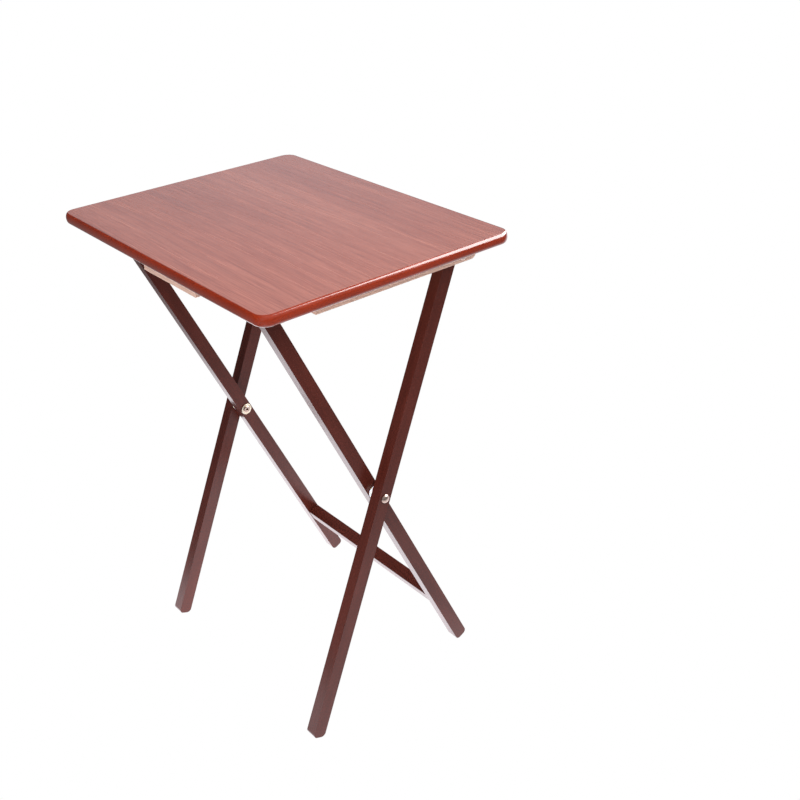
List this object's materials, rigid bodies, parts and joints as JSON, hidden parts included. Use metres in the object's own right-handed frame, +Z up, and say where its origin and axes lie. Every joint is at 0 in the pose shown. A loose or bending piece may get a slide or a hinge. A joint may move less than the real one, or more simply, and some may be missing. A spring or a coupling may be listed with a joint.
{
  "type": "folding tray table",
  "caption": "Folding wooden tray table: a walnut-look laminated tray top with a lacquered edge on two crossing dark leg frames that close like scissors.",
  "frame": {"origin": "on the floor, below the middle of the tray top", "axes": "+X along the long side of the top towards the right-hand legs, +Y towards the hinged long edge of the top, +Z up"},
  "size_m": [0.5, 0.37, 0.66],
  "materials": {
    "walnut_laminate": "semi-gloss straight-grained walnut laminate",
    "edge_lacquer": "glossy red-brown lacquer on a rounded board edge",
    "backing_sheet": "matt tan backing sheet",
    "espresso_lacquer": "glossy dark espresso stain and lacquer",
    "light_wood": "plain pale wood, thinly sealed",
    "dowel_wood": "bare fluted beech dowel",
    "plated_steel": "bright nickel-plated steel",
    "yellow_zinc": "yellow zinc-plated steel",
    "white_nylon": "white nylon"
  },
  "bodies": {
    "outer_frame": {"outer_leg_left": "espresso_lacquer", "scissor_rivet_left": "plated_steel", "scissor_spacer_left": "white_nylon", "scissor_tail_washer_left": "yellow_zinc", "outer_leg_right": "espresso_lacquer", "scissor_rivet_right": "plated_steel", "scissor_spacer_right": "white_nylon", "scissor_tail_washer_right": "yellow_zinc"},
    "inner_frame": {"inner_leg_left": "espresso_lacquer", "inner_leg_right": "espresso_lacquer", "top_rail": "espresso_lacquer", "lower_stretcher": "espresso_lacquer", "rail_dowel_left_front": "dowel_wood", "rail_dowel_left_rear": "dowel_wood", "rail_dowel_right_front": "dowel_wood", "rail_dowel_right_rear": "dowel_wood", "stretcher_dowel_left_front": "dowel_wood", "stretcher_dowel_left_rear": "dowel_wood", "stretcher_dowel_right_front": "dowel_wood", "stretcher_dowel_right_rear": "dowel_wood"},
    "top_rivets": {"top_rivet_left": "plated_steel", "top_washer_left": "plated_steel", "top_tail_washer_left": "yellow_zinc", "top_rivet_right": "plated_steel", "top_washer_right": "plated_steel", "top_tail_washer_right": "yellow_zinc"},
    "tray_top": {"tabletop_board": "edge_lacquer", "top_laminate": "walnut_laminate", "backing_sheet": "backing_sheet", "batten_left": "light_wood", "batten_right": "light_wood", "catch_block": "light_wood", "batten_screw_left_front": "plated_steel", "batten_screw_left_rear": "plated_steel", "batten_screw_right_front": "plated_steel", "batten_screw_right_rear": "plated_steel", "catch_screw_left": "plated_steel", "catch_screw_right": "plated_steel"}
  },
  "joints": [
    {"name": "scissor_hinge", "type": "hinge", "parent": "outer_frame", "child": "inner_frame", "pos_m": [0, 0, 0.321], "axis": [-1, 0, 0], "range_deg": [0, 47]},
    {"name": "tray_ride_hinge", "type": "hinge", "parent": "outer_frame", "child": "top_rivets", "pos_m": [0, 0.13436, 0.63], "axis": [-1, 0, 0], "range_deg": [0, 23.5]},
    {"name": "tray_lift_hinge", "type": "hinge", "parent": "top_rivets", "child": "tray_top", "pos_m": [0, 0.13436, 0.63], "axis": [-1, 0, 0], "range_deg": [0, 90]}
  ],
  "couplings": [
    {"joint": "tray_ride_hinge", "follows": "scissor_hinge", "ratio": 0.5}
  ]
}
